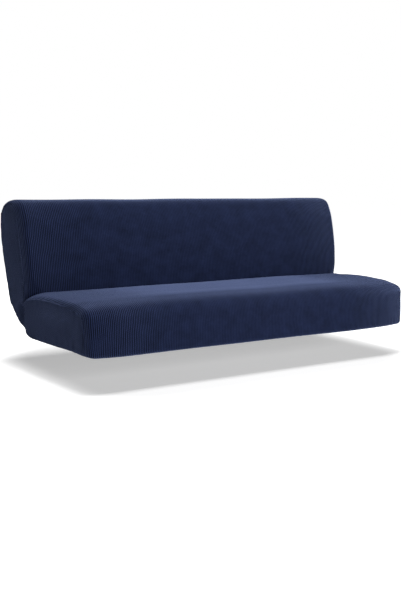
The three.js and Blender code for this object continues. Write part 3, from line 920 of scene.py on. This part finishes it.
def knit_finish(name, opens):
    knit = Finish(name)
    gauge = knit.add("ShaderNodeUVMap", {"uv_map": "Knit"})
    sway = knit.add("ShaderNodeTexNoise", None, {"Vector": gauge, "Scale": 9.0, "Detail": 1.0})
    across = knit.add("ShaderNodeSeparateXYZ", None, {"Vector": gauge}, "X")
    along = knit.add("ShaderNodeSeparateXYZ", None, {"Vector": gauge}, "Y")
    rib = across / RIB + sway * SWAY
    cell = along / CELL + (rib.maths("FLOOR") % 2.0) * HALF_STEP
    rib_crest = abs((rib * math.pi).maths("SINE")) ** RIB_SHARPNESS
    cell_crest = abs((cell * math.pi).maths("SINE")) ** CELL_SHARPNESS
    face = rib_crest * (cell_crest * CELL_SHARE + (1 - CELL_SHARE))
    drawn = knit.add("ShaderNodeMapRange", {"interpolation_type": "SMOOTHSTEP"},
                     {"Value": abs(across), "From Min": opens[0], "From Max": opens[1],
                      "To Min": CLOSED_RIB, "To Max": OPEN_RIB})
    face = (face - MIDDLE) * drawn + MIDDLE
    fuzz = knit.add("ShaderNodeTexNoise", None,
                    {"Vector": gauge, "Scale": 700.0, "Detail": 2.0, "Roughness": 0.7})
    patch = knit.add("ShaderNodeTexNoise", None,
                     {"Vector": gauge, "Scale": 13.0, "Detail": 4.0, "Roughness": 0.7})
    # The colour's share: painted shade in the grooves and the dips between cells, from the face,
    # plus fuzz and patches of tone that varies at random.
    share = (face * RIB_SHADE_IN_COLOUR + (fuzz - MIDDLE) * FUZZ_IN_COLOUR
             + (patch - MIDDLE) * PATCH_IN_COLOUR)
    relief = knit.add("ShaderNodeBump", None, {"Strength": 0.8, "Distance": 0.0016,
                                               "Height": face + fuzz * FUZZ_IN_RELIEF})
    knit.set_surface(Base_Color=knit.mixed(share, NAVY_GROOVE_PAINTED_SHADE, NAVY_CREST), Normal=relief)
    knit.set_surface(Roughness=0.86, Specular_IOR_Level=0.02, Sheen_Weight=0.57,
                     Sheen_Roughness=0.45, Sheen_Tint=BLUE_SHEEN)
    print(name, "has", len(knit.tree.nodes), "nodes")
    return knit.material


seat_cloth.data.materials.append(knit_finish("knit_seat", SEAT_OPENS))
back_cloth.data.materials.append(knit_finish("knit_back", BACK_OPENS))
side_knit = knit_finish("knit_side", SIDE_OPENS)
for piece in sides.values():
    piece.data.materials.append(side_knit)

# %% [markdown]
# ## The thread
# Overlock thread is spun polyester, a little lighter than the cloth, and here its colours are
# lighter still: a painted highlight, so that every seam reads as a pale line along its ridge. A
# single colour would look like plastic, so fine noise on Object coordinates, which needs no UV
# map, mixes a dark and a light strand of it.

# %% Thread finish
# Both strands are lighter than the thread itself, as a painted highlight along the seams.
THREAD_DARK_WITH_PAINTED_HIGHLIGHT = (0.07, 0.09, 0.19, 1)
THREAD_LIGHT_WITH_PAINTED_HIGHLIGHT = (0.15, 0.19, 0.36, 1)

thread = Finish("thread")
strands = thread.add("ShaderNodeTexNoise", None,
                     {"Vector": thread.add("ShaderNodeTexCoord", output="Object"),
                      "Scale": 900.0, "Detail": 1.0})
thread.set_surface(Base_Color=thread.mixed(strands, THREAD_DARK_WITH_PAINTED_HIGHLIGHT, THREAD_LIGHT_WITH_PAINTED_HIGHLIGHT),
                   Roughness=0.7, Specular_IOR_Level=0.1)
for piece in threads:
    piece.data.materials.append(thread.material)
print("thread on", len(threads), "seams")

# %% [markdown]
# ## Floor
# A studio floor for a catalogue is burnt out to white, and only the shadow under the object
# keeps a grey. A plain white floor would need so much light that the cloth would wash out. So
# this floor glows for the camera, and most of its shadow is painted: it glows only a little under
# the object, inside a box with rounded corners, and more and more further out, until it meets the
# white surround without a horizon. The grey is partly real as well: the softboxes cast a shadow
# there, while the floor round it is lit. For the light that it throws back onto the cloth it is an
# ordinary pale floor. The Light Path node tells the two apart.

# %% Floor
FLOOR_Z = -0.3824         # the legs of the sofa bed hold the cover this far above the floor
FLOOR_SIZE = 60
FLOOR_COLOUR = (0.8, 0.8, 0.8, 1)
FLOOR_ROUGHNESS = 0.95
PAINTED_SHADOW_GLOW = 0.40        # what the camera sees in the deepest part of the painted shadow, before any light falls
PAINTED_SHADOW_MIDDLE = (-0.02, 0.10, 0.0)
PAINTED_SHADOW_CORE = (0.57, 0.35, 0.0)    # half the size of a flat box in the deep part of the painted shadow
PAINTED_SHADOW_ROUND = 0.25       # the deep part reaches this much further, with rounded corners
PAINTED_SHADOW_FADE = 0.24        # distance over which it then fades out
ZERO = (0, 0, 0)


def floor_finish():
    finish = Finish("studio_floor")
    place = finish.add("ShaderNodeTexCoord", output="Object")
    from_middle = finish.vector("ABSOLUTE", finish.vector("SUBTRACT", place, PAINTED_SHADOW_MIDDLE))
    past_core = finish.vector("SUBTRACT", from_middle, PAINTED_SHADOW_CORE)
    distance = finish.vector("LENGTH", finish.vector("MAXIMUM", past_core, ZERO), output="Value")
    # Painted shadow: the floor glows little inside the box, and up to white outside it.
    painted_shadow_glow = finish.add("ShaderNodeMapRange", {"interpolation_type": "SMOOTHSTEP"},
                      {"Value": distance, "From Min": PAINTED_SHADOW_ROUND,
                       "From Max": PAINTED_SHADOW_ROUND + PAINTED_SHADOW_FADE,
                       "To Min": PAINTED_SHADOW_GLOW, "To Max": 1.0})
    finish.set_surface(Base_Color=FLOOR_COLOUR, Roughness=FLOOR_ROUGHNESS,
                       Specular_IOR_Level=0.0, Emission_Color=painted_shadow_glow, Emission_Strength=1.0)
    for_camera = Wire(finish, finish.surface.outputs["BSDF"])
    for_cloth = finish.add("ShaderNodeBsdfPrincipled", None,
                           {"Base Color": FLOOR_COLOUR, "Roughness": FLOOR_ROUGHNESS,
                            "Specular IOR Level": 0.0})
    seen = finish.add("ShaderNodeLightPath", output="Is Camera Ray")
    both = finish.add("ShaderNodeMixShader", None, {0: seen, 1: for_cloth, 2: for_camera})
    finish.feed(finish.tree.nodes["Material Output"], "Surface", both)
    return finish.material


bpy.ops.mesh.primitive_plane_add(size=FLOOR_SIZE, location=(0, 0, FLOOR_Z))
floor = bpy.context.object
floor.name = "floor"
floor.data.materials.append(floor_finish())
print("front hem", round(hem_floor - FLOOR_Z, 3), "above the floor")

# %% [markdown]
# ## Light
# A large softbox high overhead lights the seat and the top of the back and draws the soft
# shadow. Two more stand in front, one of them to the right, so that the corner at the left stays
# darker, as in a room with its window on one side. A weak one behind keeps the outside back from
# going black. An environment texture could light the scene too, but lamps can be aimed one by
# one. The surround is white for the camera and lights nothing.

# %% Lights
# Each softbox: name, place, what it points at, width and height, power in watts.
SOFTBOXES = (
    ("overhead", (0.0, 0.0, 7.0), (0.0, 0.1, 0.0), (2.5, 1.8), 300),
    ("front", (-1.0, -5.0, 1.0), (0.0, 0.0, 0.0), (3.0, 2.0), 85),
    ("front_right", (2.0, -5.0, 1.0), (0.0, 0.0, 0.0), (3.0, 2.0), 90),
    ("rear", (1.5, 5.0, 1.6), (0.0, 0.3, 0.2), (3.0, 2.0), 45),
)
WHITE = (1, 1, 1, 1)

for name, place, target, size, power in SOFTBOXES:
    light = bpy.data.lights.new(name, "AREA")
    light.shape = "RECTANGLE"
    light.size, light.size_y = size
    light.energy = power
    lamp = bpy.data.objects.new(name, light)
    lamp.location = place
    aim = Vector(target) - Vector(place)
    lamp.rotation_euler = aim.to_track_quat("-Z", "Y").to_euler()
    bpy.context.collection.objects.link(lamp)
    print(name, power, "W from", round(aim.length, 2), "m")

surround = bpy.data.worlds.new("surround")
surround.use_nodes = True
nodes = surround.node_tree.nodes
nodes["Background"].inputs["Color"].default_value = WHITE
seen = nodes.new("ShaderNodeLightPath").outputs["Is Camera Ray"]
surround.node_tree.links.new(seen, nodes["Background"].inputs["Strength"])
bpy.context.scene.world = surround
bpy.context.scene.view_settings.view_transform = "Standard"

# %% [markdown]
# ## Camera
# The camera stands to the left of the sofa bed and a little above it. It is more than twice as
# far away as the sofa bed is long, so that the near end is not blown up. A Track To constraint
# could aim it. Working the aim out once leaves nothing live in the scene.

# %% Camera
AZIMUTH = math.radians(-32.26)     # to the left of straight in front
ELEVATION = math.radians(7.466)
LOOK_AT = Vector((-0.104, 0.038, -0.081))
DISTANCE = 4.3
LENS = 51.03              # focal length in millimetres

camera = bpy.data.objects.new("camera", bpy.data.cameras.new("camera"))
bpy.context.collection.objects.link(camera)
toward_camera = Vector((math.sin(AZIMUTH) * math.cos(ELEVATION),
                        -math.cos(AZIMUTH) * math.cos(ELEVATION), math.sin(ELEVATION)))
camera.location = LOOK_AT + toward_camera * DISTANCE
camera.rotation_euler = (-toward_camera).to_track_quat("-Z", "Y").to_euler()
camera.data.lens = LENS
bpy.context.scene.camera = camera
print("camera at", [round(v, 3) for v in camera.location])

# A fitted cover is cut smaller than the body it covers, so the flat size of a sheet is its run
# of cloth divided by the stretch. Its area is summed face by face on the UV map, which is in
# metres of cloth: the outline of a side panel is no rectangle.

STRETCH = (1.08, 1.05)    # how far the cloth is drawn across and along


def cut_size(piece):
    """Width, length and area of a sheet before it is stretched."""
    places = [loop.uv for loop in piece.data.uv_layers["Knit"].data]
    wide = max(p.x for p in places) - min(p.x for p in places)
    tall = max(p.y for p in places) - min(p.y for p in places)
    total = 0.0
    for face in piece.data.polygons:
        ring = [places[i] for i in face.loop_indices]
        total += abs(sum(a.cross(b) for a, b in zip(ring, ring[1:] + ring[:1]))) / 2
    return (wide / STRETCH[0], tall / STRETCH[1]), total / (STRETCH[0] * STRETCH[1])


cloths = {"seat_panel": seat_cloth, "back_panel": back_cloth,
          **{f"{part}_side_{side}": piece for (part, side), piece in sides.items()}}
for node, piece in cloths.items():
    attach(piece, "root")
    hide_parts(node)
    flat, area = cut_size(piece)
    print(node, "cut", [round(v, 3) for v in flat], "area", round(area, 3))
for piece in threads:
    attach(piece, "root")

# %% [markdown]
# ## The sheets and the packed part
# The sheets may stand a little proud of the packed part, as cloth does.
